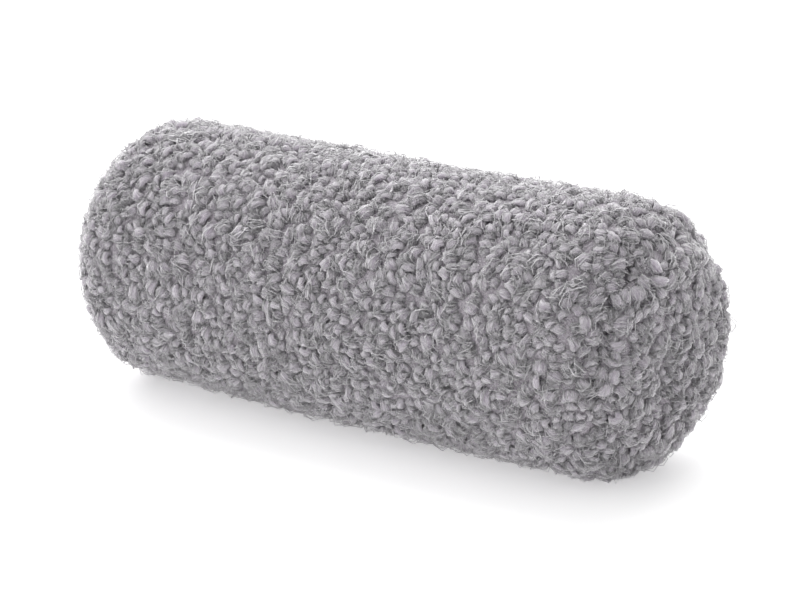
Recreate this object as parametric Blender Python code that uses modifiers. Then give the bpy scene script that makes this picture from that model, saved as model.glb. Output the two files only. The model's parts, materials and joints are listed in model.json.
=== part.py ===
"""A neck roll pillow in curly pile cloth, lying on its side.

It is built as it is sewn: one wall panel filled into a roll with drawn-in shoulders, and a
round panel sewn into each end, crowned by the filling. The roll's axis is X, +Z is up, the
front is -Y, and the origin is under its middle, on the surface that it lies on.

Run with: blender --background --python part.py
"""

import math
from typing import NamedTuple

import bpy
from mathutils import Vector, noise

# Driving sizes, in metres, over the tops of the pile
ROLL_LENGTH = 0.398
ROLL_RADIUS = 0.080
SHOULDER = 0.040  # radius of the round edge between the wall and an end
RIM_TURN = math.radians(80)  # how far round the shoulder goes before the end's crown
SETTLING = 0.0035  # how far the filled roll sinks under its own weight

# The cloth and its seams
CLOTH = 0.009  # backing and pile together
SEAM_TURN = math.radians(45)  # where the seam lies on the shoulder, 0 being the wall
SEAM_GAP = 0.0003  # left between the pieces that meet at a seam
SEAM_DRAW = 0.0022  # how far the stitches pull the pile in
SEAM_REACH = 0.007  # how far to each side of the seam the pull is felt

# The tufts that the curls of the pile clump into
TUFT_PITCH = 0.0185
TUFT_RISE = 0.0030
TUFT_SPREAD = 0.85  # a tuft's radius, as a share of the pitch
PRESSED_BELOW = 0.012  # under this height the floor presses the tufts together

# How finely the form is divided
STEPS_ROUND = 68
WALL_SPANS = 46
SHOULDER_SPANS = 5
RIM_SPANS = 4
CROWN_SPANS = 7
HIDDEN_SPANS = 2

PILE_COLOUR = (0.292, 0.277, 0.298, 1.0)
PILE_ROUGHNESS = 0.95

# Sizes that follow
SHOULDER_CENTRE = ROLL_RADIUS - SHOULDER  # distance of the shoulder's centre from the axis
RIM_RADIUS = SHOULDER_CENTRE + SHOULDER * math.cos(RIM_TURN)
CROWN = RIM_RADIUS / (2 * math.tan(RIM_TURN))  # the crown leaves the rim with no crease
SHOULDER_X = ROLL_LENGTH / 2 - CROWN - SHOULDER * math.sin(RIM_TURN)
AXIS_HEIGHT = ROLL_RADIUS - SETTLING
HALF_GAP_TURN = SEAM_GAP / 2 / (SHOULDER - CLOTH)


class Swell(NamedTuple):
    """A place where the filling pushes out, or where it has given way."""

    along: float  # from the roll's middle, in metres
    round_degrees: float  # from the top towards the front
    rise: float  # in metres, less than 0 for a hollow
    reach: float  # along the roll, in metres
    reach_degrees: float


SWELLS = (
    Swell(along=0.060, round_degrees=345, rise=-0.0022, reach=0.080, reach_degrees=60),
    Swell(along=-0.070, round_degrees=345, rise=-0.0016, reach=0.075, reach_degrees=55),
    Swell(along=-0.140, round_degrees=345, rise=-0.0010, reach=0.030, reach_degrees=55),
    Swell(along=-0.020, round_degrees=140, rise=0.0016, reach=0.100, reach_degrees=45),
    Swell(along=-0.135, round_degrees=160, rise=-0.0026, reach=0.036, reach_degrees=45),
    Swell(along=0.186, round_degrees=120, rise=-0.0042, reach=0.026, reach_degrees=55),
    Swell(along=0.085, round_degrees=255, rise=0.0016, reach=0.060, reach_degrees=45),
    Swell(along=-0.070, round_degrees=235, rise=-0.0018, reach=0.070, reach_degrees=50),
)


class Skin(NamedTuple):
    """How a point lies to the surface of the turned form."""

    depth: float  # below the surface
    outward: Vector  # along the roll, and away from its axis
    from_seam: float  # along the surface, from the nearer seam


def shoulder_point(turn, depth=0.0):
    """A point on the right shoulder, as (along the roll, distance from its axis)."""
    reach = SHOULDER - depth
    return SHOULDER_X + reach * math.sin(turn), SHOULDER_CENTRE + reach * math.cos(turn)


def shoulder_points(first, last, spans, depth=0.0):
    """Points along the shoulder from one turn to another."""
    turns = (first + (last - first) * i / spans for i in range(spans + 1))
    return [shoulder_point(turn, depth) for turn in turns]


def crown_points(spans, depth=0.0):
    """Points from just inside the rim to the middle of the end."""
    rim_x, rim_radius = shoulder_point(RIM_TURN, depth)
    shares = (1 - i / spans for i in range(1, spans + 1))
    return [(rim_x + CROWN * (1 - share**2), rim_radius * share) for share in shares]


def roll_profile():
    """Profile of the filled roll: its wall, its shoulders and the seats of its end panels."""
    seam = SEAM_TURN - HALF_GAP_TURN
    seat = CLOTH + SEAM_GAP
    half = [(SHOULDER_X * i / (WALL_SPANS / 2), ROLL_RADIUS) for i in range(WALL_SPANS // 2)]
    half += shoulder_points(0.0, seam, SHOULDER_SPANS)
    half += shoulder_points(seam, RIM_TURN, HIDDEN_SPANS, seat)
    half += crown_points(HIDDEN_SPANS, seat)
    return [(-x, radius) for x, radius in reversed(half[1:])] + half


def end_panel_profile(side):
    """Profile of one end panel: its outside, its edge at the seam and its inside."""
    seam = SEAM_TURN + HALF_GAP_TURN
    outside = shoulder_points(seam, RIM_TURN, RIM_SPANS) + crown_points(CROWN_SPANS)
    inside = shoulder_points(seam, RIM_TURN, HIDDEN_SPANS, CLOTH) + crown_points(HIDDEN_SPANS, CLOTH)
    points = inside[::-1] + outside
    return points if side > 0 else [(-x, radius) for x, radius in reversed(points)]


def turned_mesh(name, profile):
    """The profile swept round the roll's axis, as a plain mesh."""
    line = bpy.data.meshes.new(name)
    edges = [(i, i + 1) for i in range(len(profile) - 1)]
    line.from_pydata([(x, 0.0, radius) for x, radius in profile], edges, [])
    turned = bpy.data.objects.new(name, line)
    bpy.context.scene.collection.objects.link(turned)
    screw = turned.modifiers.new("Turn", "SCREW")
    screw.axis = "X"
    screw.steps = screw.render_steps = STEPS_ROUND
    screw.use_merge_vertices = True
    screw.merge_threshold = 1e-5
    screw.use_normal_flip = True
    bpy.context.view_layer.update()
    graph = bpy.context.evaluated_depsgraph_get()
    mesh = bpy.data.meshes.new_from_object(turned.evaluated_get(graph))
    bpy.data.objects.remove(turned)
    bpy.data.meshes.remove(line)
    mesh.name = name
    return mesh


def skin_at(x, radius):
    """Where a point of the turned form lies, seen from the surface."""
    side = math.copysign(1.0, x)
    past = abs(x) - SHOULDER_X
    seam_arc = SHOULDER * SEAM_TURN
    if past <= 0:
        return Skin(ROLL_RADIUS - radius, Vector((0.0, 1.0)), seam_arc - past)
    turn = math.atan2(past, radius - SHOULDER_CENTRE)
    if turn <= RIM_TURN:
        depth = SHOULDER - math.hypot(past, radius - SHOULDER_CENTRE)
        outward = Vector((side * math.sin(turn), math.cos(turn)))
        return Skin(depth, outward, abs(SHOULDER * turn - seam_arc))
    share = radius / RIM_RADIUS
    crown_x = ROLL_LENGTH / 2 - CROWN * share**2
    outward = Vector((side, 2 * CROWN * share / RIM_RADIUS)).normalized()
    return Skin(crown_x - abs(x), outward, SHOULDER * RIM_TURN - seam_arc + RIM_RADIUS - radius)


def bell(distance, reach):
    """1 at no distance, falling smoothly to nothing beyond the reach."""
    return math.exp(-((distance / reach) ** 2))


def swell_rise(x, round_degrees):
    """How far the filling pushes the whole cloth out at a place."""
    rise = 0.0
    for swell in SWELLS:
        turned = (round_degrees - swell.round_degrees + 180) % 360 - 180
        rise += swell.rise * bell(x - swell.along, swell.reach) * bell(turned, swell.reach_degrees)
    return rise


def pile_rise(place, skin):
    """How far the pile stands from the even form's surface at a place, 0 being a tuft's top."""
    nearest = noise.voronoi(place / TUFT_PITCH)[0][0]
    hollow = min(1.0, nearest / TUFT_SPREAD) ** 2 * min(1.0, place.yz.length / TUFT_PITCH)
    loose = min(1.0, max(0.0, (place.z + AXIS_HEIGHT) / PRESSED_BELOW))
    return -loose * (TUFT_RISE * hollow + SEAM_DRAW * bell(skin.from_seam, SEAM_REACH))


def shape_by_hand(mesh):
    """Gives a turned mesh its swells and tufts, and settles it on the floor."""
    for vertex in mesh.vertices:
        place = vertex.co.copy()
        radius = math.hypot(place.y, place.z)
        skin = skin_at(place.x, radius)
        round_degrees = math.degrees(math.atan2(-place.y, place.z))
        rise = swell_rise(place.x, round_degrees)
        if skin.depth < SEAM_GAP:
            rise += pile_rise(place, skin)
        away = place.yz / radius if radius > SEAM_GAP else Vector((0.0, 0.0))
        vertex.co.x += rise * skin.outward.x
        vertex.co.yz += rise * skin.outward.y * away
        vertex.co.z = max(0.0, vertex.co.z + AXIS_HEIGHT)
    mesh.update()


def pile_material():
    """Matt grey curly pile."""
    material = bpy.data.materials.new("curly_pile")
    material.use_nodes = True
    shader = material.node_tree.nodes["Principled BSDF"]
    shader.inputs["Base Color"].default_value = PILE_COLOUR
    shader.inputs["Roughness"].default_value = PILE_ROUGHNESS
    shader.inputs["Metallic"].default_value = 0.0
    return material


def add_piece(name, profile, collection, material):
    """One sewn piece, as a closed solid of its own."""
    mesh = turned_mesh(name, profile)
    shape_by_hand(mesh)
    mesh.shade_smooth()
    mesh.materials.append(material)
    collection.objects.link(bpy.data.objects.new(name, mesh))


def main():
    """Builds the pillow's three pieces."""
    for old in list(bpy.data.objects):
        bpy.data.objects.remove(old)
    pillow = bpy.data.collections.new("neck_roll_pillow")
    bpy.context.scene.collection.children.link(pillow)
    pile = pile_material()
    add_piece("filled_roll", roll_profile(), pillow, pile)
    add_piece("end_panel_left", end_panel_profile(-1), pillow, pile)
    add_piece("end_panel_right", end_panel_profile(1), pillow, pile)


main()
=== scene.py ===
"""Looks of the neck roll pillow: its padded cloth, its curly pile and the studio it lies in.

The pillow's three sewn pieces come from the frame. Each is padded out again as simulated cloth
that lies under the pile. The pile is thousands of small locks of fibre, each rooted in that
cloth, curled over at its tip and combed roughly downwards, with a few strands loose on its back.
"""

import json
import logging
import math
from dataclasses import dataclass, field
from enum import Enum
from typing import Any

import bmesh
import bpy
import numpy as np
from mathutils import Matrix, Vector

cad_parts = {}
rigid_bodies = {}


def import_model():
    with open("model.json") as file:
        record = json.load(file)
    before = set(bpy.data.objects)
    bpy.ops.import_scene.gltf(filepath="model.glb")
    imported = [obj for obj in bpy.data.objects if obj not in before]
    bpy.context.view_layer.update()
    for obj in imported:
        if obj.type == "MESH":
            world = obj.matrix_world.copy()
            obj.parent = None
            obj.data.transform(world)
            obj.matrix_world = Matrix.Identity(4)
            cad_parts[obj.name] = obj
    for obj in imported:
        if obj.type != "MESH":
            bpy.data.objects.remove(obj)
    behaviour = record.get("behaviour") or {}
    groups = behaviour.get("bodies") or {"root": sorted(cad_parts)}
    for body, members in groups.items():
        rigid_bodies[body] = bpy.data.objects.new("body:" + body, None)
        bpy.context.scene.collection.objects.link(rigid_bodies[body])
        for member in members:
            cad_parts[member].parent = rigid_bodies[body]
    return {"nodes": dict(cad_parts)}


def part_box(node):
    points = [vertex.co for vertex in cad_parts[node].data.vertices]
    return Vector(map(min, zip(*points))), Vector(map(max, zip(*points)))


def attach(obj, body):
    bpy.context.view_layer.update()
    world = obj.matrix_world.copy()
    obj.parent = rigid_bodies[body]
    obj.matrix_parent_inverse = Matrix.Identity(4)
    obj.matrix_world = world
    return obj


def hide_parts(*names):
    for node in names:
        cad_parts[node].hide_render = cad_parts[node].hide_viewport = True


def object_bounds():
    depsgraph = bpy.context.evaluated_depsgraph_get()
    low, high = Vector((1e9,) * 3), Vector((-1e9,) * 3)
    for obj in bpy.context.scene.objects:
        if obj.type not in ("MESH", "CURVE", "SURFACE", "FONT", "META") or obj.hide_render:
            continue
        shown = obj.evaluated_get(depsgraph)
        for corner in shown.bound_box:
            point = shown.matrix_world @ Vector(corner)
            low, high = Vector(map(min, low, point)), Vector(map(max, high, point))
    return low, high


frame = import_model()
CAD_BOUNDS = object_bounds()

BODY = "root"
BODY_STRIP = 0.80  # share of the UV map that a lock's body takes, before its strands
STRANDS_FROM = 0.81  # only strands lie past here on the UV map
TINY = 1e-9  # keeps a division from failing at 0

log = logging.getLogger("neck_roll_pillow")

Colour = tuple[float, float, float]
Point = tuple[float, float, float]
Stops = tuple[tuple[float, float], ...]


# Node trees


class Term:
    """A socket of a node tree, whose maths is written as Python."""

    def __init__(self, graph: "Graph", socket: bpy.types.NodeSocket) -> None:
        """Wraps an output socket.

        Args:
            graph: The tree that new nodes go into.
            socket: The output that this term stands for.
        """
        self.graph = graph
        self.socket = socket

    def apply(self, operation: str, *others: Any) -> "Term":
        """This term and others through one Math node, or Vector Math for a vector or a colour.

        Args:
            operation: The node's operation.
            others: Terms or numbers for the sockets after the first.

        Returns:
            The node's result.
        """
        many = self.socket.type in ("VECTOR", "RGBA")
        kind = "ShaderNodeVectorMath" if many else "ShaderNodeMath"
        values = dict(enumerate((self, *others)))
        return self.graph.node(kind, {"operation": operation}, values)

    def __add__(self, other: Any) -> "Term":
        """Self plus other."""
        return self.apply("ADD", other)

    def __radd__(self, other: Any) -> "Term":
        """Other plus self."""
        return self.apply("ADD", other)

    def __sub__(self, other: Any) -> "Term":
        """Self less other."""
        return self.apply("SUBTRACT", other)

    def __rsub__(self, other: float) -> "Term":
        """Other less self."""
        return self.apply("MULTIPLY_ADD", -1.0, other)

    def __mul__(self, other: Any) -> "Term":
        """Self times other."""
        return self.apply("MULTIPLY", other)

    def __rmul__(self, other: Any) -> "Term":
        """Other times self."""
        return self.apply("MULTIPLY", other)

    def __truediv__(self, other: Any) -> "Term":
        """Self divided by other."""
        return self.apply("DIVIDE", other)

    def __pow__(self, other: Any) -> "Term":
        """Self to the power of other."""
        return self.apply("POWER", other)

    def __gt__(self, other: Any) -> "Term":
        """1 where self is greater than other."""
        return self.apply("GREATER_THAN", other)

    def __lt__(self, other: Any) -> "Term":
        """1 where self is less than other."""
        return self.apply("LESS_THAN", other)

    def times(self, number: Any) -> "Term":
        """A vector scaled by a number or a term."""
        values = {"Vector": self, "Scale": number}
        return self.graph.node("ShaderNodeVectorMath", {"operation": "SCALE"}, values)


class Graph:
    """Builds one node tree."""

    def __init__(self, tree: bpy.types.NodeTree) -> None:
        """Starts an empty tree.

        Args:
            tree: The tree, whose old nodes are taken away.
        """
        self.tree = tree
        tree.nodes.clear()

    def node(
        self,
        kind: str,
        settings: dict[str, Any] | None = None,
        sockets: dict[str | int, Any] | None = None,
        output: str | int = 0,
    ) -> Term:
        """Adds a node.

        Args:
            kind: The node's type.
            settings: Its properties, which are set first. "stops" are a ramp's (place, grey).
            sockets: Values or terms for its inputs, by name or by number.
            output: The output that is wanted, by name or by number among those in use.

        Returns:
            The output.
        """
        node = self.tree.nodes.new(kind)
        for name, value in (settings or {}).items():
            if name == "stops":
                self.set_stops(node.color_ramp, value)
            else:
                setattr(node, name, value)
        used = [socket for socket in node.inputs if socket.enabled]
        for key, value in (sockets or {}).items():
            socket = used[key] if isinstance(key, int) else next(s for s in used if s.name == key)
            if isinstance(value, Term):
                self.tree.links.new(value.socket, socket)
            else:
                socket.default_value = value
        results = [socket for socket in node.outputs if socket.enabled]
        if not results:
            return Term(self, None)
        named = results[output] if isinstance(output, int) else next(s for s in results if s.name == output)
        return Term(self, named)

    @staticmethod
    def set_stops(ramp: bpy.types.ColorRamp, stops: Stops) -> None:
        """Gives a ramp its stops.

        Args:
            ramp: The node's ramp.
            stops: Place and grey value of each, in order.
        """
        while len(ramp.elements) < len(stops):
            ramp.elements.new(1.0)
        for element, (place, grey) in zip(ramp.elements, stops):
            element.position = place
            element.color = (grey, grey, grey, 1.0)

    def ramp(self, value: Term, *stops: tuple[float, float]) -> Term:
        """A value through a ramp of greys, as a number.

        Args:
            value: What the ramp reads.
            stops: Place and grey value of each stop.

        Returns:
            The grey.
        """
        grey = self.node("ShaderNodeValToRGB", {"stops": stops}, {0: value})
        return self.node("ShaderNodeSeparateColor", {}, {0: grey})

    def mix(self, share: Term, first: Any, second: Any) -> Term:
        """Two colours mixed.

        Args:
            share: 0 for the first and 1 for the second.
            first: A colour or a term.
            second: A colour or a term.

        Returns:
            The colour.
        """
        return self.node("ShaderNodeMix", {"data_type": "RGBA"}, {"Factor": share, "A": first, "B": second})


class ShaderGraph(Graph):
    """A material's tree round one Principled shader."""

    def __init__(self, name: str, viewport: Colour) -> None:
        """Starts a material.

        Args:
            name: The material's name.
            viewport: Its plain colour.
        """
        self.material = bpy.data.materials.new(name)
        self.material.use_nodes = True
        self.material.diffuse_color = (*viewport, 1.0)
        super().__init__(self.material.node_tree)

    def finish(self, sockets: dict[str | int, Any]) -> bpy.types.Material:
        """Ends the tree in a Principled shader.

        Args:
            sockets: The shader's inputs.

        Returns:
            The material.
        """
        shader = self.node("ShaderNodeBsdfPrincipled", {}, sockets)
        self.node("ShaderNodeOutputMaterial", {}, {"Surface": shader})
        return self.material


class PileGraph(Graph):
    """A Geometry Nodes tree with named inputs."""

    def __init__(self, name: str, inputs: dict[str, str]) -> None:
        """Starts a tree that takes a mesh and gives a mesh.

        Args:
            name: The tree's name.
            inputs: Socket type of each input, by the input's name.
        """
        super().__init__(bpy.data.node_groups.new(name, "GeometryNodeTree"))
        face = self.tree.interface
        face.new_socket("Geometry", in_out="INPUT", socket_type="NodeSocketGeometry")
        for label, kind in inputs.items():
            face.new_socket(label, in_out="INPUT", socket_type=kind)
        face.new_socket("Geometry", in_out="OUTPUT", socket_type="NodeSocketGeometry")
        self.entry = self.tree.nodes.new("NodeGroupInput")

    def given(self, name: str) -> Term:
        """One of the tree's inputs."""
        return Term(self, self.entry.outputs[name])

    def stray(self, size: float) -> Term:
        """A smoothly wandering vector, of up to a half each way.

        Args:
            size: Distance over which it wanders.

        Returns:
            The vector.
        """
        sockets = {"Vector": self.node("GeometryNodeInputPosition"), "Scale": 1 / size, "Detail": 1.0}
        return self.node("ShaderNodeTexNoise", {}, sockets, "Color") - (0.5, 0.5, 0.5)

    def run(self, base: bpy.types.Object, name: str, values: dict[str, Any]) -> bpy.types.Object:
        """Runs the tree on a copy of an object and keeps the result as a plain mesh.

        Args:
            base: What the tree works on.
            name: The new object's name.
            values: A value for each input, by its name.

        Returns:
            The new object.
        """
        carrier = bpy.data.objects.new(name, base.data)
        bpy.context.scene.collection.objects.link(carrier)
        modifier = carrier.modifiers.new(name, "NODES")
        modifier.node_group = self.tree
        items = self.tree.interface.items_tree
        sockets = {item.name: item.identifier for item in items if item.in_out == "INPUT"}
        for label, value in values.items():
            modifier[sockets[label]] = value
        mesh = evaluated_mesh(carrier)
        bpy.data.objects.remove(carrier)
        return new_object(name, mesh)


# Meshes


def new_object(name: str, mesh: bpy.types.Mesh) -> bpy.types.Object:
    """Links a mesh into the scene as a new object.

    Args:
        name: The object's and the mesh's name.
        mesh: Its mesh.

    Returns:
        The object.
    """
    mesh.name = name
    made = bpy.data.objects.new(name, mesh)
    bpy.context.scene.collection.objects.link(made)
    return made


def evaluated_mesh(item: bpy.types.Object) -> bpy.types.Mesh:
    """An object's mesh with its modifiers applied.

    Args:
        item: The object.

    Returns:
        A new mesh.
    """
    bpy.context.view_layer.update()
    graph = bpy.context.evaluated_depsgraph_get()
    shown = item.evaluated_get(graph)
    return bpy.data.meshes.new_from_object(shown, preserve_all_data_layers=True, depsgraph=graph)


def points_of(mesh: bpy.types.Mesh) -> np.ndarray:
    """Where a mesh's vertices are.

    Args:
        mesh: The mesh.

    Returns:
        Rows of x, y and z.
    """
    flat = np.empty(len(mesh.vertices) * 3, dtype=np.float32)
    mesh.vertices.foreach_get("co", flat)
    return flat.reshape(-1, 3)


def set_points(mesh: bpy.types.Mesh, points: np.ndarray) -> None:
    """Moves a mesh's vertices.

    Args:
        mesh: The mesh.
        points: Rows of x, y and z.
    """
    mesh.vertices.foreach_set("co", np.asarray(points, dtype=np.float32).ravel())
    mesh.update()


def apply_modifiers(item: bpy.types.Object) -> None:
    """Puts an object's evaluated mesh in the place of its own, with no modifier left.

    Args:
        item: The object.
    """
    old, item.data = item.data, evaluated_mesh(item)
    item.modifiers.clear()
    bpy.data.meshes.remove(old)


# Finishes


@dataclass(frozen=True)
class PileFinish:
    """Grey curly fibre: matt and soft, streaked along each lock, with lighter strands and painted light
    towards the roots.
    """

    name: str = "curly_pile"
    light: Colour = (0.546, 0.498, 0.565)
    dark: Colour = (0.284, 0.249, 0.300)
    plain_lift: float = 0.30  # how light a body is without its streaks, 1 being all light
    streak_lift: float = 0.46
    strand_lift: float = 0.13
    tint_range: float = 0.08  # how much lighter one whole lock may be than another
    painted_root_light: float = 1.00  # painted light: how much lighter the colour is made towards each lock's root, to lift the shade deep between the locks
    painted_root_light_stops: Stops = ((0.0, 1.0), (0.30, 0.35), (0.62, 0.0))
    streaks: float = 3.2
    streak_run: float = 0.9  # how often the streaks change along a lock
    streak_detail: float = 3.0
    streak_roughness: float = 0.65
    streak_stops: Stops = ((0.42, 0.0), (0.58, 1.0))
    apart: float = 37.0  # sets the streaks of one tint apart from those of the next
    relief: float = 0.0010
    roughness: float = 0.92
    specular: float = 0.25
    sheen: float = 1.0
    sheen_roughness: float = 0.45
    softness: float = 1.0
    soft_reach: float = 0.0120

    def material(self) -> bpy.types.Material:
        """The finish as a material that reads each lock's own UV map and its tint.

        Returns:
            The material.
        """
        graph = ShaderGraph(self.name, self.light)
        uv = graph.node("ShaderNodeUVMap", {"uv_map": "UVMap"})
        across = graph.node("ShaderNodeSeparateXYZ", {}, {0: uv}, "X")
        around = across * (2 * math.pi / BODY_STRIP)
        strand = across > STRANDS_FROM
        along = graph.node("ShaderNodeSeparateXYZ", {}, {0: uv}, "Y")
        tint = graph.node("ShaderNodeAttribute", {"attribute_name": "tint"}, output="Fac")
        place = graph.node(
            "ShaderNodeCombineXYZ",
            {},
            {"X": around.apply("COSINE"), "Y": around.apply("SINE"), "Z": along * self.streak_run},
        )
        noise = graph.node(
            "ShaderNodeTexNoise",
            {"noise_dimensions": "4D"},
            {
                "Vector": place,
                "W": tint * self.apart,
                "Scale": self.streaks,
                "Detail": self.streak_detail,
                "Roughness": self.streak_roughness,
            },
        )
        fibre = graph.ramp(noise, *self.streak_stops)
        # painted light: the colour grows lighter towards the root of each lock and strand, lifting the shade
        # deep in the pile
        painted_root_light_mask = graph.ramp(along, *self.painted_root_light_stops)
        plain = self.plain_lift - self.tint_range / 2
        share = fibre * self.streak_lift + tint * self.tint_range + strand * self.strand_lift + plain
        colour = graph.mix(share * (1.0 + painted_root_light_mask * self.painted_root_light), (*self.dark, 1.0), (*self.light, 1.0))
        bump = graph.node("ShaderNodeBump", {}, {"Strength": 1.0, "Distance": self.relief, "Height": fibre})
        return graph.finish(
            {
                "Base Color": colour,
                "Roughness": self.roughness,
                "Specular IOR Level": self.specular,
                "Sheen Weight": self.sheen,
                "Sheen Roughness": self.sheen_roughness,
                "Subsurface Weight": self.softness,
                "Subsurface Radius": (1.0, 1.0, 1.0),
                "Subsurface Scale": self.soft_reach,
                "Normal": bump,
            }
        )


@dataclass(frozen=True)
class BackingFinish:
    """The felted base of the pile, which shows between the locks, with painted shade in the creases between
    its tufts.
    """

    name: str = "felted_base"
    yarn: Colour = (0.540, 0.504, 0.548)
    # the fibres' darker tone, which the creases between the tufts also take as painted shade
    dark_fibre_and_hollow_shade: Colour = (0.270, 0.248, 0.276)
    tuft: float = 0.0040  # distance from one tuft to the next
    tuft_share: float = 0.4
    tuft_stops: Stops = ((0.15, 0.0), (0.75, 1.0))
    fibre: float = 0.0012  # distance from one fibre to the next
    fibre_share: float = 0.6
    fibre_detail: float = 3.0
    fibre_stops: Stops = ((0.42, 0.0), (0.58, 1.0))
    relief: float = 0.0016
    roughness: float = 0.95
    softness: float = 1.0
    soft_reach: float = 0.005

    def material(self) -> bpy.types.Material:
        """The finish as a material on object coordinates.

        Returns:
            The material.
        """
        graph = ShaderGraph(self.name, self.yarn)
        place = graph.node("ShaderNodeTexCoord", output="Object")
        tufts = {"Vector": place, "Scale": 1.0 / self.tuft}
        cells = graph.node("ShaderNodeTexVoronoi", {"feature": "SMOOTH_F1"}, tufts, "Distance")
        fibres = {"Vector": place, "Scale": 1.0 / self.fibre, "Detail": self.fibre_detail}
        fine = graph.ramp(graph.node("ShaderNodeTexNoise", {}, fibres), *self.fibre_stops)
        share = graph.ramp(cells, *self.tuft_stops) * self.tuft_share + fine * self.fibre_share
        relief = {"Strength": 1.0, "Distance": self.relief, "Height": share}
        bump = graph.node("ShaderNodeBump", {"invert": True}, relief)
        # darker where the bump lies low: partly the fibres' own tone, partly painted shade in the creases
        # between the tufts
        colour = graph.mix(share, (*self.yarn, 1.0), (*self.dark_fibre_and_hollow_shade, 1.0))
        return graph.finish(
            {
                "Base Color": colour,
                "Roughness": self.roughness,
                "Subsurface Weight": self.softness,
                "Subsurface Radius": (1.0, 1.0, 1.0),
                "Subsurface Scale": self.soft_reach,
                "Normal": bump,
            }
        )


@dataclass(frozen=True)
class FloorFinish:
    """A plain pale studio floor, with a glow that keeps its shadows pale."""

    name: str = "pale_floor"
    colour: Colour = (0.70, 0.70, 0.70)
    glow: float = 0.42
    roughness: float = 0.8
    specular: float = 0.1

    def material(self) -> bpy.types.Material:
        """The finish as a plain material.

        Returns:
            The material.
        """
        graph = ShaderGraph(self.name, self.colour)
        return graph.finish(
            {
                "Base Color": (*self.colour, 1.0),
                "Roughness": self.roughness,
                "Specular IOR Level": self.specular,
                "Emission Color": (1.0, 1.0, 1.0, 1.0),
                "Emission Strength": self.glow,
            }
        )


# The padded cloth


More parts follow.
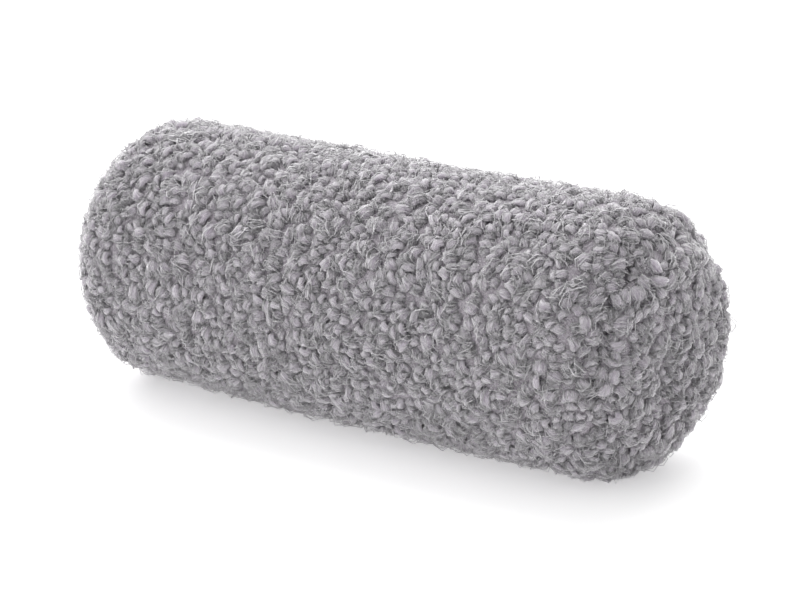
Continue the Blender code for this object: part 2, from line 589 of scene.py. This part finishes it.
@dataclass
class Padding:
    """Pads a sewn piece of the frame out again as simulated cloth that lies under the pile."""

    pile: float = 0.0034  # height of the pile over the cloth
    shoulder: float = 0.040  # radius of the roll's round edges
    weld: float = 1e-5  # points nearer than this are one
    voxel: float = 0.0070
    pressure: float = 4.0
    quality: int = 4
    frames: int = 20
    swell: float = 0.0012  # the furthest that the cloth may move
    floor_room: float = 0.0020  # the least height of the cloth over the floor
    skin_voxel: float = 0.0035
    skin_smoothing: int = 4
    cloths: list[bpy.types.Object] = field(default_factory=list)

    LEAST_REACH = 1e-4  # lets a point that is near the axis of the wall still move inwards

    def draw_in(self, points: np.ndarray) -> np.ndarray:
        """Moves points of the roll inwards by the pile's height.

        Args:
            points: Rows of x, y and z.

        Returns:
            The moved points.
        """
        low, high = (np.array(corner) for corner in CAD_BOUNDS)
        axis_z = high[2] - (high[1] - low[1]) / 2
        radial = points[:, 1:] - (0.0, axis_z)
        radius = np.linalg.norm(radial, axis=1)
        past = np.maximum(np.abs(points[:, 0]) - (high[0] - self.shoulder), 0.0) * np.sign(points[:, 0])
        out = np.maximum(radius - ((high[1] - low[1]) / 2 - self.shoulder), self.LEAST_REACH * (past == 0))
        length = np.maximum(np.hypot(past, out), TINY)
        moved = points.copy()
        moved[:, 0] -= self.pile * past / length
        moved[:, 1:] -= (self.pile * out / length / np.maximum(radius, TINY))[:, None] * radial
        moved[:, 2] = np.maximum(moved[:, 2], self.floor_room)
        return moved

    def start(self, node: str, name: str) -> bpy.types.Object:
        """The piece, a little smaller and evenly meshed, ready to be filled.

        Args:
            node: The frame's node.
            name: The new piece's name.

        Returns:
            The new piece.
        """
        source = bmesh.new()
        source.from_mesh(frame["nodes"][node].data)
        bmesh.ops.remove_doubles(source, verts=source.verts, dist=self.weld)
        mesh = bpy.data.meshes.new(name)
        source.to_mesh(mesh)
        source.free()
        set_points(mesh, self.draw_in(points_of(mesh)))
        cloth = new_object(name, mesh)
        remesh = cloth.modifiers.new("Even", "REMESH")
        remesh.mode = "VOXEL"
        remesh.voxel_size = self.voxel
        apply_modifiers(cloth)
        self.cloths.append(cloth)
        return cloth

    def fill(self) -> None:
        """Fills all the cloths by simulation and smooths them."""
        for cloth in self.cloths:
            self.add_cloth(cloth)
        scene = bpy.context.scene
        for number in range(1, self.frames + 1):
            scene.frame_set(number)
        for cloth in self.cloths:
            self.take_shape(cloth)
        scene.frame_set(1)
        for cloth in self.cloths:
            smooth = cloth.modifiers.new("Smooth", "SUBSURF")
            smooth.levels = smooth.render_levels = 1
            apply_modifiers(cloth)
            cloth.data.shade_smooth()

    def add_cloth(self, cloth: bpy.types.Object) -> None:
        """Makes a piece cloth under pressure, with no weight.

        Args:
            cloth: The piece.
        """
        settings = cloth.modifiers.new("Fill", "CLOTH").settings
        settings.use_pressure = True
        settings.uniform_pressure_force = self.pressure
        settings.effector_weights.gravity = 0.0
        settings.quality = self.quality

    def take_shape(self, cloth: bpy.types.Object) -> None:
        """Keeps the simulated shape, with no point moved further than the swell.

        Args:
            cloth: The piece.
        """
        start = points_of(cloth.data)
        apply_modifiers(cloth)
        move = points_of(cloth.data) - start
        length = np.linalg.norm(move, axis=1)
        log.info("%s: filling moved it %.1f mm at most", cloth.name, 1000 * float(length.max()))
        end = start + move * np.minimum(1.0, self.swell / np.maximum(length, TINY))[:, None]
        end[:, 2] = np.maximum(end[:, 2], self.floor_room)
        set_points(cloth.data, end)

    def skin(self) -> bpy.types.Object:
        """The outside of all the cloths together, which the pile grows on.

        Returns:
            The skin, which goes once the pile has grown.
        """
        joined = bmesh.new()
        for cloth in self.cloths:
            joined.from_mesh(cloth.data)
        mesh = bpy.data.meshes.new("skin")
        joined.to_mesh(mesh)
        joined.free()
        skin = new_object("skin", mesh)
        remesh = skin.modifiers.new("Even", "REMESH")
        remesh.mode = "VOXEL"
        remesh.voxel_size = self.skin_voxel
        smooth = skin.modifiers.new("Smooth", "SMOOTH")
        smooth.iterations = self.skin_smoothing
        apply_modifiers(skin)
        self.keep_outside(skin.data)
        return skin

    @staticmethod
    def keep_outside(mesh: bpy.types.Mesh) -> None:
        """Removes all but the largest shell of a mesh.

        Args:
            mesh: The mesh.
        """
        shells = bmesh.new()
        shells.from_mesh(mesh)
        left = set(shells.verts)
        largest: set[bmesh.types.BMVert] = set()
        while left:
            shell = {left.pop()}
            edge = set(shell)
            while edge:
                edge = {e.other_vert(v) for v in edge for e in v.link_edges} - shell
                shell |= edge
            left -= shell
            largest = max(largest, shell, key=len)
        bmesh.ops.delete(shells, geom=[v for v in shells.verts if v not in largest], context="VERTS")
        shells.to_mesh(mesh)
        shells.free()


# The pile


class CurlKind(Enum):
    """How a lock of the pile lies."""

    ROLLED_OVER = "rolled over"
    LEANING = "leaning"
    SNAIL = "snail"
    WISP = "wisp"


@dataclass(frozen=True)
class Curl:
    """One lock, rooted at the origin, growing along +Z and curling over towards +X.

    It is a felted body with a few strands laid over it, whose ends come loose.
    """

    kind: CurlKind
    turn: float  # how far it curls, in degrees
    loop: float  # radius of the curl near its root
    tip_loop: float
    width: float
    thickness: float
    tilt: float  # how far the curl lies over on its side, in degrees
    twist: float  # in degrees
    rise: float  # height of the root over the cloth
    seed: int
    strands: int = 4
    sides: int = 6
    steps: int = 5

    COURSE_STEPS = 24  # that a lock's course is added up in
    UNEVEN = 0.08
    SWELL = ((0.0, 0.70), (0.15, 0.88), (0.35, 1.0), (0.70, 1.0), (0.88, 0.86), (1.0, 0.58))
    TIP = 0.32  # length of a body's tip, as a share of its thickness
    TIP_FROM = 0.95  # how far up the UV map a tube's last ring may be

    # The strands, whose places across a body are shares of its width from its middle
    STRAND_AT = (0.12, 0.32, 0.52, 0.72, 0.90)
    STRAND_END = 1.04
    STRAND_SIDES = 3
    STRAND_THICK = (0.00022, 0.00034)
    STRAND_TAPER = 0.94
    STRAND_SPREAD = 0.9
    STRAND_STRAY = 0.22  # how far a strand's end strays across from its start
    STRAND_PLAY = (0.1, 0.9)  # where in its own share of the width a strand starts
    WIDEST = 0.62  # the furthest from the middle that a strand may lie
    WAVE = (0.08, 0.22)
    WAVES = 9.0
    CLOSE = (0.0001, 0.0006)  # how far a close strand lifts off the body
    LOOSE = (0.0011, 0.0027)  # and a loose one
    LIFTS_OVER = 2.4  # how much of a half wave the lift takes, in radians
    LIFT_WAVE = 0.4
    REST = 0.0001  # how far a strand's middle lies over the body where it isn't lifted
    ROUNDNESS = 1.8  # how steeply the body falls away to its sides
    LEAST_BULGE = 0.05

    # The strands' strips of the UV map
    STRIP_GAP = 0.03
    STRIPS = 0.15
    STRIP = 0.03

    def station(self, share: float) -> Matrix:
        """The frame at a share of the lock's length.

        Args:
            share: 0 at the root and 1 at the tip.

        Returns:
            The frame, with the lock's thickness along X and its width along Y.
        """
        steps = self.COURSE_STEPS
        step = math.radians(self.turn) * share / steps
        place = Vector((0.0, 0.0, 0.0))
        for i in range(steps):
            radius = self.loop + (self.tip_loop - self.loop) * share * (i + 0.5) / steps
            angle = step * (i + 0.5)
            place += Vector((math.sin(angle), 0.0, math.cos(angle))) * (radius * step)
        angle = step * steps
        tangent = Vector((math.sin(angle), 0.0, math.cos(angle)))
        inward = Vector((math.cos(angle), 0.0, -math.sin(angle)))
        turned = Matrix((inward, Vector((0.0, 1.0, 0.0)), tangent)).transposed().to_4x4()
        lay = Matrix.Translation((0.0, 0.0, self.rise)) @ Matrix.Rotation(math.radians(self.tilt), 4, "X")
        twist = Matrix.Rotation(math.radians(self.twist) * share, 4, "Z")
        return lay @ Matrix.Translation(place) @ turned @ twist

    @staticmethod
    def add_tube(
        lock: bmesh.types.BMesh,
        rings: list[list[Vector]],
        tip: Vector,
        shares: tuple[float, ...],
        first: float,
        last: float,
    ) -> None:
        """Adds a tube that ends in a tip.

        Args:
            lock: The lock's mesh.
            rings: The points round the tube at each station.
            tip: Its end.
            shares: How far along the lock each ring is.
            first: Where the tube's strip of the UV map starts.
            last: Where it ends.
        """
        uv = lock.loops.layers.uv.verify()
        sides = len(rings[0])
        verts = [[lock.verts.new(point) for point in ring] for ring in rings]
        across = [first + (last - first) * k / sides for k in range(sides + 1)]
        for i in range(len(rings) - 1):
            for k in range(sides):
                n = (k + 1) % sides
                face = lock.faces.new((verts[i][k], verts[i][n], verts[i + 1][n], verts[i + 1][k]))
                places = ((k, i), (k + 1, i), (k + 1, i + 1), (k, i + 1))
                for loop, (side, ring) in zip(face.loops, places):
                    loop[uv].uv = (across[side], Curl.TIP_FROM * shares[ring])
        end = lock.verts.new(tip)
        for k in range(sides):
            face = lock.faces.new((verts[-1][k], verts[-1][(k + 1) % sides], end))
            places = ((k, Curl.TIP_FROM), (k + 1, Curl.TIP_FROM), (k, 1.0))
            for loop, (side, along) in zip(face.loops, places):
                loop[uv].uv = (across[side], along)
        lock.faces.new(verts[0][::-1])

    def add_body(self, lock: bmesh.types.BMesh, chance: np.random.Generator) -> None:
        """Adds the felted body.

        Args:
            lock: The lock's mesh.
            chance: Where its unevenness comes from.
        """
        shares = tuple(i / self.steps for i in range(self.steps + 1))
        rings = []
        for share in shares:
            station = self.station(share)
            full = float(np.interp(share, *zip(*self.SWELL)))
            ring = []
            for k in range(self.sides):
                angle = 2 * math.pi * k / self.sides
                reach = full * (1 + self.UNEVEN * chance.standard_normal()) / 2
                across = Vector((math.cos(angle) * self.thickness, math.sin(angle) * self.width, 0.0))
                ring.append(station @ (across * reach))
            rings.append(ring)
        tip = self.station(1.0) @ Vector((0.0, 0.0, self.thickness * self.TIP))
        self.add_tube(lock, rings, tip, shares, 0.0, BODY_STRIP)

    def add_strand(self, lock: bmesh.types.BMesh, chance: np.random.Generator, number: int) -> None:
        """Adds one strand over the outside of the curl.

        Args:
            lock: The lock's mesh.
            chance: Where its course comes from.
            number: Which of the lock's strands it is.
        """
        start = self.STRAND_SPREAD * ((number + chance.uniform(*self.STRAND_PLAY)) / self.strands - 0.5)
        finish = start + self.STRAND_STRAY * chance.standard_normal()
        wave, phase = chance.uniform(*self.WAVE), chance.uniform(0.0, 2 * math.pi)
        loose = chance.uniform(*(self.LOOSE if number % 2 else self.CLOSE))
        thick = chance.uniform(*self.STRAND_THICK)
        rings = []
        for share in (*self.STRAND_AT, self.STRAND_END):
            station = self.station(share)
            full = float(np.interp(share, *zip(*self.SWELL)))
            swing = self.WAVES * share + phase
            lie = start + (finish - start) * share + wave * math.sin(swing)
            lie = max(-self.WIDEST, min(self.WIDEST, lie))
            bulge = math.sqrt(max(self.LEAST_BULGE, 1.0 - (self.ROUNDNESS * lie) ** 2))
            spring = loose * math.sin(self.LIFTS_OVER * share) * (1.0 + self.LIFT_WAVE * math.cos(swing))
            lift = self.thickness / 2 * full * bulge + self.REST + spring
            centre = Vector((-lift, lie * self.width * full, 0.0))
            ring = []
            for k in range(self.STRAND_SIDES):
                angle = 2 * math.pi * k / self.STRAND_SIDES
                ring.append(station @ (centre + Vector((math.cos(angle), math.sin(angle), 0.0)) * thick))
            rings.append(ring)
            thick *= self.STRAND_TAPER
        end = sum(rings.pop(), Vector()) / self.STRAND_SIDES
        first = BODY_STRIP + self.STRIP_GAP + self.STRIPS * number / self.strands
        self.add_tube(lock, rings, end, self.STRAND_AT, first, first + self.STRIP)

    def mesh(self) -> bpy.types.Mesh:
        """The lock as one mesh with its UV map.

        Returns:
            The mesh.
        """
        chance = np.random.default_rng(self.seed)
        lock = bmesh.new()
        self.add_body(lock, chance)
        for number in range(self.strands):
            self.add_strand(lock, chance, number)
        bmesh.ops.recalc_face_normals(lock, faces=lock.faces)
        mesh = bpy.data.meshes.new(f"curl_{self.seed}")
        lock.to_mesh(mesh)
        lock.free()
        mesh.uv_layers[0].name = "UVMap"
        mesh.shade_smooth()
        return mesh


# Each lock's turn, loop, tip loop, width, thickness, tilt, twist, rise and seed
LOCKS = (
    Curl(CurlKind.ROLLED_OVER, 225, 0.0030, 0.0020, 0.0092, 0.0046, 8, 22, -0.0016, 1),
    Curl(CurlKind.ROLLED_OVER, 245, 0.0027, 0.0018, 0.0083, 0.0046, -14, -28, -0.0013, 2),
    Curl(CurlKind.ROLLED_OVER, 205, 0.0034, 0.0023, 0.0081, 0.0044, 8, 36, -0.0018, 3),
    Curl(CurlKind.ROLLED_OVER, 235, 0.0026, 0.0018, 0.0074, 0.0045, 20, -26, -0.0011, 4),
    Curl(CurlKind.ROLLED_OVER, 215, 0.0031, 0.0021, 0.0087, 0.0045, -20, 30, -0.0016, 5),
    Curl(CurlKind.LEANING, 240, 0.0028, 0.0018, 0.0069, 0.0044, 34, 32, -0.0009, 6),
    Curl(CurlKind.LEANING, 230, 0.0029, 0.0019, 0.0074, 0.0044, -36, -32, -0.0009, 7),
    Curl(CurlKind.SNAIL, 300, 0.0025, 0.0015, 0.0056, 0.0044, 46, 46, -0.0001, 8),
    Curl(CurlKind.WISP, 190, 0.0037, 0.0022, 0.0058, 0.0040, 24, 52, -0.0011, 9, 3),
)


class Draw(Enum):
    """What a lock's random number is drawn for."""

    LEAN_ASIDE = 1
    LEAN_ALONG = 2
    TURN = 3
    KIND = 4
    SIZE = 5
    TINT = 6


@dataclass(frozen=True)
class Stretch:
    """A stretch of the skin along the roll."""

    name: str
    start: float
    end: float


@dataclass
class Pile:
    """What grows out of the skin, one piece to each stretch."""

    name: str = "pile"
    kinds: tuple[Curl, ...] = LOCKS
    spacing: float = 0.0052  # the least distance between two roots
    density: float = 600000.0  # tries to a square metre, which the spacing then thins
    scale: tuple[float, float] = (0.76, 1.27)
    height: float = 0.86  # how far the locks stand up, 1 being as they are modelled
    spread: float = 1.80  # how far a lock may turn from the nap, in radians
    lean: float = 0.20  # how far a lock may lean over, in radians
    comb_wander: float = 1.7  # how far the combing strays from straight down
    comb_size: float = 0.035  # distance over which it strays
    tousle_size: float = 0.0030
    tousle_reach: float = 0.0009
    floor: float = 0.0004  # height of what the floor presses flat
    floor_give: float = 0.0010  # how softly it does so
    bake_margin: float = 0.04  # round each lock's cell of the bake's map
    seed: int = 11

    def curls(self) -> bpy.types.Collection:
        """One object for each kind of lock, named so that they keep their order.

        Returns:
            The collection, which is out of the scene.
        """
        kinds = bpy.data.collections.new(self.name)
        for number, curl in enumerate(self.kinds):
            name = f"{self.name}_{number:02d}_{curl.kind.value}"
            kinds.objects.link(bpy.data.objects.new(name, curl.mesh()))
        return kinds

    def nap(self, graph: PileGraph, normal: Term) -> Term:
        """The way that each root's lock is combed, as a rotation.

        Args:
            graph: The tree.
            normal: The skin's normal at the root.

        Returns:
            A rotation with Z out of the skin and X along the combing.
        """
        comb = graph.stray(self.comb_size).times(2 * self.comb_wander) + (0.0, 0.0, -1.0)
        sockets = {"Primary Axis": normal, "Secondary Axis": comb}
        return graph.node("FunctionNodeAxesToRotation", {"primary_axis": "Z", "secondary_axis": "X"}, sockets)

    def chance(self, graph: PileGraph, draw: Draw, low: float, high: float, kind: str = "FLOAT") -> Term:
        """A random number for each root.

        Args:
            graph: The tree.
            draw: What it is drawn for.
            low: The least.
            high: The most.
            kind: Whether it is a FLOAT or an INT.

        Returns:
            The number.
        """
        sockets = {"Min": low, "Max": high, "Seed": graph.given("Seed") + float(draw.value)}
        return graph.node("FunctionNodeRandomValue", {"data_type": kind}, sockets)

    def tree(self) -> PileGraph:
        """The Geometry Nodes that root, comb and curl the pile.

        Returns:
            The tree.
        """
        graph = PileGraph(
            self.name,
            {
                "Locks": "NodeSocketCollection",
                "Finish": "NodeSocketMaterial",
                "Spacing": "NodeSocketFloat",
                "From": "NodeSocketFloat",
                "To": "NodeSocketFloat",
                "Seed": "NodeSocketInt",
            },
        )
        scatter = graph.node(
            "GeometryNodeDistributePointsOnFaces",
            {"distribute_method": "POISSON"},
            {
                "Mesh": graph.given("Geometry"),
                "Distance Min": graph.given("Spacing"),
                "Density Max": self.density,
                "Seed": graph.given("Seed"),
            },
        )
        normal = Term(graph, scatter.socket.node.outputs["Normal"])
        x = graph.node("ShaderNodeSeparateXYZ", {}, {0: graph.node("GeometryNodeInputPosition")}, "X")
        beyond = (x < graph.given("From")).apply("MAXIMUM", x > graph.given("To"))
        off = {"Geometry": scatter, "Selection": beyond}
        roots = graph.node("GeometryNodeDeleteGeometry", {"domain": "POINT"}, off)
        angles = graph.node(
            "ShaderNodeCombineXYZ",
            {},
            {
                "X": self.chance(graph, Draw.LEAN_ASIDE, -self.lean, self.lean),
                "Y": self.chance(graph, Draw.LEAN_ALONG, -self.lean, self.lean),
                "Z": self.chance(graph, Draw.TURN, -self.spread, self.spread),
            },
        )
        turned = graph.node("FunctionNodeEulerToRotation", {}, {0: angles})
        lie = graph.node(
            "FunctionNodeRotateRotation",
            {"rotation_space": "LOCAL"},
            {"Rotation": self.nap(graph, normal), "Rotate By": turned},
        )
        locks = graph.node(
            "GeometryNodeCollectionInfo",
            {},
            {"Collection": graph.given("Locks"), "Separate Children": True, "Reset Children": True},
        )
        pick = self.chance(graph, Draw.KIND, 0, len(self.kinds) - 1, "INT")
        size = self.chance(graph, Draw.SIZE, *self.scale)
        flat = graph.node("ShaderNodeCombineXYZ", {}, {"X": size, "Y": size, "Z": size * self.height})
        pile = graph.node(
            "GeometryNodeInstanceOnPoints",
            {},
            {
                "Points": roots,
                "Instance": locks,
                "Pick Instance": True,
                "Instance Index": pick,
                "Rotation": lie,
                "Scale": flat,
            },
        )
        for attribute, value in (
            ("tint", self.chance(graph, Draw.TINT, 0.0, 1.0)),
            ("cell", graph.node("GeometryNodeInputIndex")),
        ):
            pile = graph.node(
                "GeometryNodeStoreNamedAttribute",
                {"data_type": "FLOAT", "domain": "INSTANCE"},
                {"Geometry": pile, "Name": attribute, "Value": value},
            )
        count = graph.node("GeometryNodeAttributeDomainSize", {"component": "INSTANCES"}, {0: pile})
        side = (count**0.5).apply("CEIL")
        pile = graph.node("GeometryNodeRealizeInstances", {}, {"Geometry": pile})
        pile = self.lay_out(graph, pile, side)
        pile = self.tousle(graph, pile)
        pile = self.press(graph, pile)
        finished = {"Geometry": pile, "Material": graph.given("Finish")}
        pile = graph.node("GeometryNodeSetMaterial", {}, finished)
        graph.node("NodeGroupOutput", {}, {0: pile})
        return graph

    def lay_out(self, graph: PileGraph, pile: Term, side: Term) -> Term:
        """Gives each lock its own cell of a second UV map, for baking.

        Args:
            graph: The tree.
            pile: The realized locks.
            side: How many cells make a side of the map.

        Returns:
            The locks with the map.
        """
        cell = graph.node("GeometryNodeInputNamedAttribute", {"data_type": "FLOAT"}, {"Name": "cell"})
        own = graph.node("GeometryNodeInputNamedAttribute", {"data_type": "FLOAT_VECTOR"}, {"Name": "UVMap"})
        column = cell.apply("MODULO", side)
        row = (cell / side).apply("FLOOR")
        margin = self.bake_margin
        corner = graph.node("ShaderNodeCombineXYZ", {}, {"X": column + margin, "Y": row + margin})
        place = (own.times(1.0 - 2 * margin) + corner).times(side**-1.0)
        return graph.node(
            "GeometryNodeStoreNamedAttribute",
            {"data_type": "FLOAT2", "domain": "CORNER"},
            {"Geometry": pile, "Name": "OFBake", "Value": place},
        )

    def tousle(self, graph: PileGraph, pile: Term) -> Term:
        """Makes each lock uneven in its own way.

        Args:
            graph: The tree.
            pile: The realized locks.

        Returns:
            The uneven locks.
        """
        offset = graph.stray(self.tousle_size).times(2 * self.tousle_reach)
        return graph.node("GeometryNodeSetPosition", {}, {"Geometry": pile, "Offset": offset})

    def press(self, graph: PileGraph, pile: Term) -> Term:
        """Presses what would go under the floor flat on it.

        Args:
            graph: The tree.
            pile: The realized locks.

        Returns:
            The pressed locks.
        """
        place = graph.node("GeometryNodeInputPosition")
        x, y, z = (graph.node("ShaderNodeSeparateXYZ", {}, {0: place}, axis) for axis in "XYZ")
        over = z.apply("SMOOTH_MAX", self.floor, self.floor_give)
        pressed = graph.node("ShaderNodeCombineXYZ", {}, {"X": x, "Y": y, "Z": over})
        return graph.node("GeometryNodeSetPosition", {}, {"Geometry": pile, "Position": pressed})

    def grow(
        self,
        graph: PileGraph,
        skin: bpy.types.Object,
        stretch: Stretch,
        finish: bpy.types.Material,
        locks: bpy.types.Collection,
    ) -> bpy.types.Object:
        """Grows one stretch of the pile.

        Args:
            graph: The pile's tree.
            skin: What the roots stand in.
            stretch: The stretch along the roll.
            finish: The pile's material.
            locks: The collection of locks.

        Returns:
            The stretch as one piece.
        """
        return graph.run(
            skin,
            stretch.name,
            {
                "Locks": locks,
                "Finish": finish,
                "Spacing": self.spacing,
                "From": stretch.start,
                "To": stretch.end,
                "Seed": self.seed,
            },
        )


# The studio


@dataclass(frozen=True)
class Lamp:
    """A broad soft light, as a sun of a wide angle."""

    name: str
    strength: float
    comes_from: Point
    softness: float  # in degrees

    def hang(self) -> None:
        """Adds the light to the scene."""
        sun = bpy.data.lights.new(self.name, "SUN")
        sun.energy = self.strength
        sun.angle = math.radians(self.softness)
        lamp = bpy.data.objects.new(self.name, sun)
        lamp.rotation_euler = Vector(self.comes_from).to_track_quat("Z", "Y").to_euler()
        bpy.context.scene.collection.objects.link(lamp)


@dataclass
class Studio:
    """A pale floor, soft light from above and the left, and the photograph's camera."""

    azimuth: float = 36.3
    elevation: float = 16.5
    distance: float = 1.80
    lens: float = 141.0
    sensor: float = 36.0
    middle: Point = (0.0, 0.0, 0.0765)
    aim_right: float = 0.0046
    aim_down: float = 0.0052
    floor_side: float = 14.0
    sky: float = 0.62
    lamps: tuple[Lamp, ...] = (
        Lamp("key", 1.98, (-1.10, -0.88, 0.95), 125.0),
        Lamp("rim", 3.10, (-0.47, 0.59, 0.66), 70.0),
    )

    def floor(self) -> bpy.types.Object:
        """The floor, as stage.

        Returns:
            The floor.
        """
        mesh = bpy.data.meshes.new("floor")
        half = self.floor_side / 2
        corners = [(-half, -half, 0.0), (half, -half, 0.0), (half, half, 0.0), (-half, half, 0.0)]
        mesh.from_pydata(corners, [], [(0, 1, 2, 3)])
        floor = new_object("floor", mesh)
        mesh.materials.append(FloorFinish().material())
        return floor

    def light(self) -> None:
        """A white surround, and soft lights from the left and from behind."""
        world = bpy.data.worlds.new("studio")
        world.use_nodes = True
        ground = world.node_tree.nodes["Background"]
        ground.inputs["Color"].default_value = (1.0, 1.0, 1.0, 1.0)
        ground.inputs["Strength"].default_value = self.sky
        bpy.context.scene.world = world
        for lamp in self.lamps:
            lamp.hang()
        bpy.context.scene.view_settings.view_transform = "Standard"

    def camera(self) -> None:
        """The camera at the photograph's viewing angle."""
        turn, lift = math.radians(self.azimuth), math.radians(self.elevation)
        back = Vector((math.sin(turn) * math.cos(lift), -math.cos(turn) * math.cos(lift), math.sin(lift)))
        right = Vector((math.cos(turn), math.sin(turn), 0.0))
        up = back.cross(right)
        middle = Vector(self.middle)
        place = middle + back * self.distance
        aim = middle + right * self.aim_right - up * self.aim_down
        lens = bpy.data.cameras.new("camera")
        lens.lens = self.lens
        lens.sensor_width = self.sensor
        camera = bpy.data.objects.new("camera", lens)
        camera.location = place
        camera.rotation_euler = (aim - place).to_track_quat("-Z", "Y").to_euler()
        bpy.context.scene.collection.objects.link(camera)
        bpy.context.scene.camera = camera


# The pillow


@dataclass
class Pillow:
    """The neck roll: its three padded cloths and the pile on them."""

    padding: Padding = field(default_factory=Padding)
    pile: Pile = field(default_factory=Pile)
    wall_stretches: int = 5
    seam_inset: float = 1.6  # how far inside the wall's end its last stretch ends, in heights of pile

    NODES = ("filled_roll", "end_panel_left", "end_panel_right")
    CLOTHS = ("wall_cloth", "end_cloth_left", "end_cloth_right")
    FAR = 1.0  # past both ends of the roll

    def build_cloths(self) -> None:
        """Pads the sewn pieces and lets each stand for its node."""
        backing = BackingFinish().material()
        for node, name in zip(self.NODES, self.CLOTHS):
            self.padding.start(node, name)
        self.padding.fill()
        for node, cloth in zip(self.NODES, self.padding.cloths):
            cloth.data.materials.clear()
            cloth.data.materials.append(backing)
            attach(cloth, BODY)
            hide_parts(node)
            log.info("%s: %d faces", cloth.name, len(cloth.data.polygons))

    def stretches(self) -> list[Stretch]:
        """The ends and the wall's stretches.

        Returns:
            The stretches, from left to right.
        """
        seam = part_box("filled_roll")[1][0] - self.padding.pile * self.seam_inset
        marks = np.linspace(-seam, seam, self.wall_stretches + 1)
        walls = [Stretch(f"wall_pile_{i + 1}", marks[i], marks[i + 1]) for i in range(self.wall_stretches)]
        left = Stretch("end_pile_left", -self.FAR, -seam)
        right = Stretch("end_pile_right", seam, self.FAR)
        return [left, *walls, right]

    def build_pile(self) -> None:
        """Grows the locks on the cloths."""
        skin = self.padding.skin()
        locks, graph, material = self.pile.curls(), self.pile.tree(), PileFinish().material()
        for stretch in self.stretches():
            piece = self.pile.grow(graph, skin, stretch, material, locks)
            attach(piece, BODY)
            log.info("%s: %d faces", piece.name, len(piece.data.polygons))
        for lock in list(locks.objects):
            bpy.data.objects.remove(lock)
        bpy.data.collections.remove(locks)
        bpy.data.objects.remove(skin)


def main() -> None:
    """Builds the pillow and its studio."""
    logging.basicConfig(level=logging.INFO, format="%(message)s")
    studio = Studio()
    studio.camera()
    studio.light()
    studio.floor()
    log.info("studio: floor, light and camera")
    pillow = Pillow()
    pillow.build_cloths()
    pillow.build_pile()


if __name__ == "__main__":
    main()
